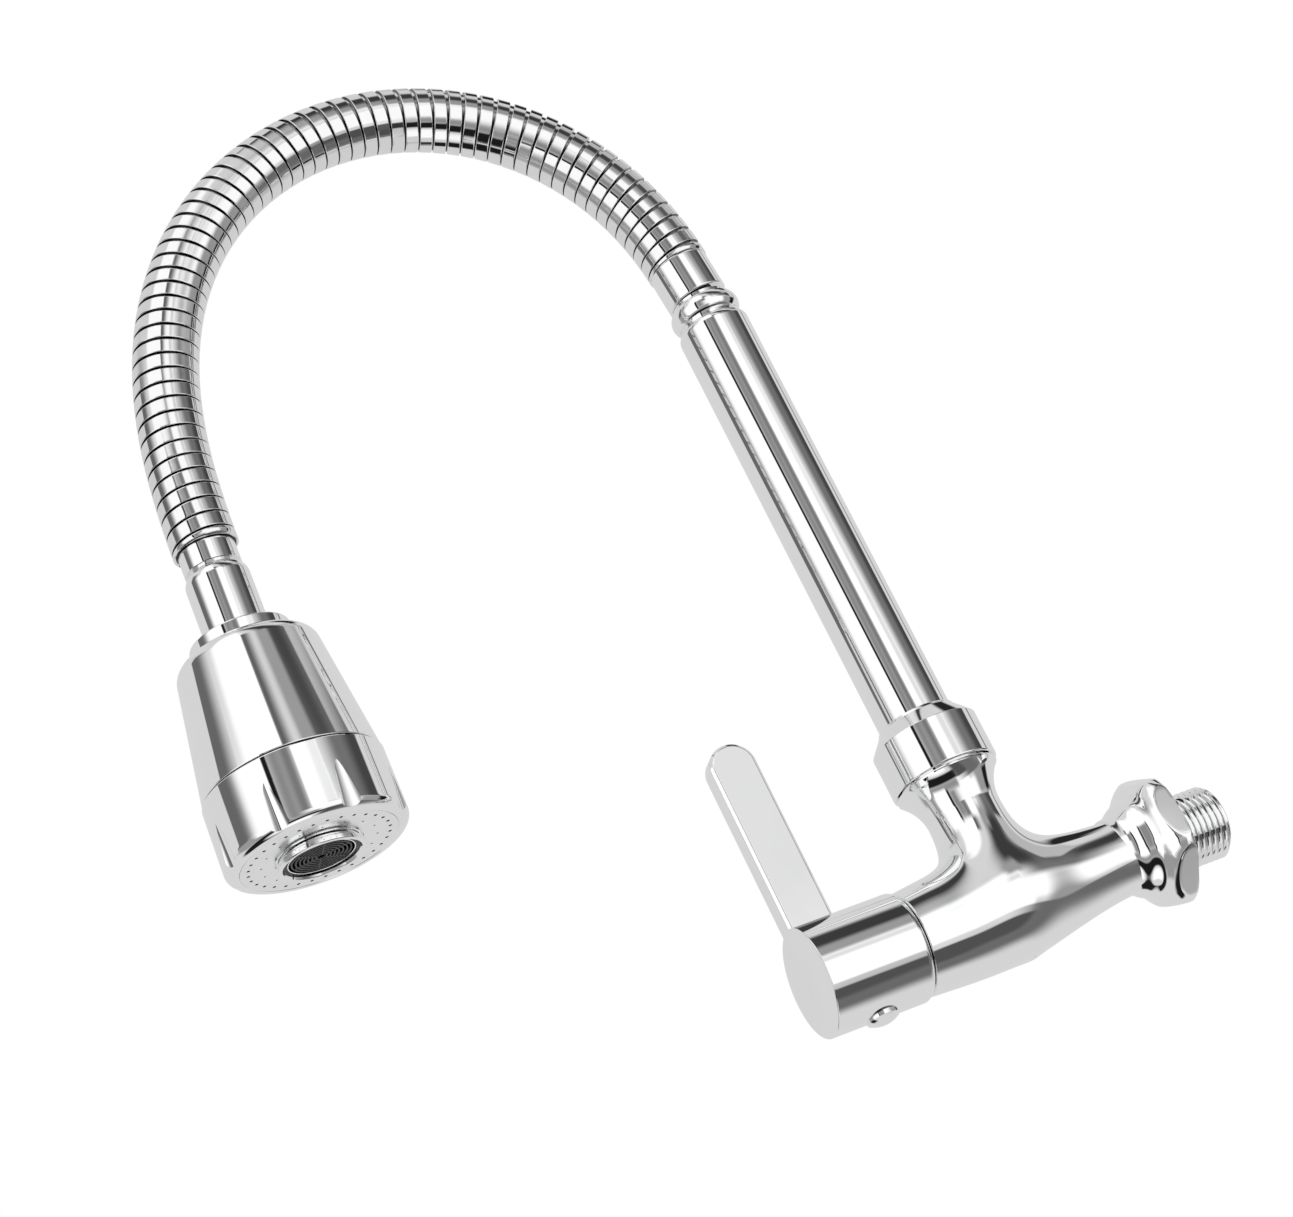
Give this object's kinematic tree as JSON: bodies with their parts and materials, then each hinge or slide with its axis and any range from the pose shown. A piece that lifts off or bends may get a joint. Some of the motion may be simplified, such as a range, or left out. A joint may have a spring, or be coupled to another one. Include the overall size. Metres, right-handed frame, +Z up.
{
  "type": "flexible spout tap",
  "caption": "Wall mounted cold tap with a straight riser, a bendable ribbed goose neck, a side lever and a tapered spray head.",
  "frame": {"origin": "centre of the hexagon flange wall face, on the axis of the wall thread", "axes": "+Y into the wall along the thread, +Z up the riser, the lever valve and the spray head towards -Y"},
  "size_m": [0.0514, 0.2616, 0.3165],
  "materials": {
    "chromed_brass": "bright chrome plate",
    "chromed_zinc": "bright chrome plate",
    "chromed_tube": "bright chrome plate",
    "hose_strip": "bright chrome plate over wound strip",
    "inner_tube": "plain flexible tube",
    "plated_plastic": "bright chrome plate over moulded plastic",
    "face_plastic": "plated face with a moulded cup",
    "bare_brass": "machined",
    "plug_chrome": "bright plated cap",
    "ceramic": "lapped alumina",
    "seal_rubber": "moulded",
    "slip_nylon": "moulded",
    "steel": "plain steel",
    "aerator_plastic": "moulded",
    "aerator_mesh": "woven screen"
  },
  "bodies": {
    "valve": {"valve_body": "chromed_brass", "seat_seal": "seal_rubber", "fixed_ceramic_disc": "ceramic", "cartridge_housing": "bare_brass", "cartridge_ring": "seal_rubber", "union_nut": "chromed_brass", "slip_ring": "slip_nylon"},
    "handle": {"control_handle": "chromed_zinc", "moving_ceramic_disc": "ceramic", "spindle": "bare_brass", "spindle_rings": "seal_rubber", "spindle_clip": "steel", "handle_screw": "steel", "screw_plug": "plug_chrome"},
    "spout": {"riser_spigot": "bare_brass", "riser_rings": "seal_rubber", "riser_tube": "chromed_tube", "hose_connector": "chromed_tube", "upper_ferrule": "chromed_brass", "hose_segment_01": "hose_strip", "inner_hose_01": "inner_tube"},
    "flex_02": {"hose_segment_02": "hose_strip", "inner_hose_02": "inner_tube"},
    "flex_03": {"hose_segment_03": "hose_strip", "inner_hose_03": "inner_tube"},
    "flex_04": {"hose_segment_04": "hose_strip", "inner_hose_04": "inner_tube"},
    "flex_05": {"hose_segment_05": "hose_strip", "inner_hose_05": "inner_tube"},
    "flex_06": {"hose_segment_06": "hose_strip", "inner_hose_06": "inner_tube"},
    "flex_07": {"hose_segment_07": "hose_strip", "inner_hose_07": "inner_tube"},
    "flex_08": {"hose_segment_08": "hose_strip", "inner_hose_08": "inner_tube"},
    "flex_09": {"hose_segment_09": "hose_strip", "inner_hose_09": "inner_tube"},
    "flex_10": {"hose_segment_10": "hose_strip", "inner_hose_10": "inner_tube"},
    "flex_11": {"hose_segment_11": "hose_strip", "inner_hose_11": "inner_tube"},
    "flex_12": {"hose_segment_12": "hose_strip", "inner_hose_12": "inner_tube", "lower_ferrule": "chromed_brass", "neck_bell": "chromed_brass", "stem_ring": "seal_rubber"},
    "head": {"head_collar": "plated_plastic", "head_shell": "plated_plastic", "spray_core": "slip_nylon", "core_ring": "seal_rubber", "foot_ring": "seal_rubber", "keeper_screw": "steel"},
    "spray_ring": {"mode_ring": "plated_plastic", "spray_face": "face_plastic", "nozzle_housing": "plated_plastic", "aerator_body": "aerator_plastic", "aerator_screen": "aerator_mesh", "mode_disc": "slip_nylon"}
  },
  "joints": [
    {"name": "lever_turn", "type": "hinge", "parent": "valve", "child": "handle", "pos_m": [0, -0.082, -0.0031], "axis": [0, -1, 0], "range_deg": [0, 90]},
    {"name": "spout_swivel", "type": "hinge", "parent": "valve", "child": "spout", "pos_m": [0, -0.05, 0.04], "axis": [0, 0, 1], "continuous": true},
    {"name": "neck_bend_01", "type": "hinge", "parent": "spout", "child": "flex_02", "pos_m": [0, -0.05571, 0.2347], "axis": [1, 0, 0], "range_deg": [-7, 4]},
    {"name": "neck_side_02", "type": "hinge", "parent": "flex_02", "child": "flex_03", "pos_m": [0, -0.06624, 0.25537], "axis": [0, -0.8171, -0.5765], "range_deg": [-7, 7]},
    {"name": "neck_bend_03", "type": "hinge", "parent": "flex_03", "child": "flex_04", "pos_m": [0, -0.08238, 0.27202], "axis": [1, 0, 0], "range_deg": [-7, 4]},
    {"name": "neck_side_04", "type": "hinge", "parent": "flex_04", "child": "flex_05", "pos_m": [0, -0.10289, 0.28283], "axis": [0, -0.3183, -0.948], "range_deg": [-7, 7]},
    {"name": "neck_bend_05", "type": "hinge", "parent": "flex_05", "child": "flex_06", "pos_m": [0, -0.12576, 0.2866], "axis": [1, 0, 0], "range_deg": [-7, 4]},
    {"name": "neck_side_06", "type": "hinge", "parent": "flex_06", "child": "flex_07", "pos_m": [0, -0.14867, 0.28305], "axis": [0, 0.3046, -0.9525], "range_deg": [-7, 7]},
    {"name": "neck_bend_07", "type": "hinge", "parent": "flex_07", "child": "flex_08", "pos_m": [0, -0.16949, 0.27282], "axis": [1, 0, 0], "range_deg": [-7, 4]},
    {"name": "neck_side_08", "type": "hinge", "parent": "flex_08", "child": "flex_09", "pos_m": [0, -0.18666, 0.2572], "axis": [0, 0.7659, -0.6429], "range_deg": [-7, 7]},
    {"name": "neck_bend_09", "type": "hinge", "parent": "flex_09", "child": "flex_10", "pos_m": [0, -0.19941, 0.23779], "axis": [1, 0, 0], "range_deg": [-7, 4]},
    {"name": "neck_side_10", "type": "hinge", "parent": "flex_10", "child": "flex_11", "pos_m": [0, -0.20779, 0.21611], "axis": [0, 0.9629, -0.2698], "range_deg": [-7, 7]},
    {"name": "neck_bend_11", "type": "hinge", "parent": "flex_11", "child": "flex_12", "pos_m": [0, -0.21248, 0.19332], "axis": [1, 0, 0], "range_deg": [-7, 4]},
    {"name": "head_swivel", "type": "hinge", "parent": "flex_12", "child": "head", "pos_m": [0, -0.21613, 0.14219], "axis": [0, -0.0529, -0.9986], "continuous": true},
    {"name": "spray_select", "type": "hinge", "parent": "head", "child": "spray_ring", "pos_m": [0, -0.21846, 0.09815], "axis": [0, -0.0529, -0.9986], "range_deg": [0, 60]}
  ]
}
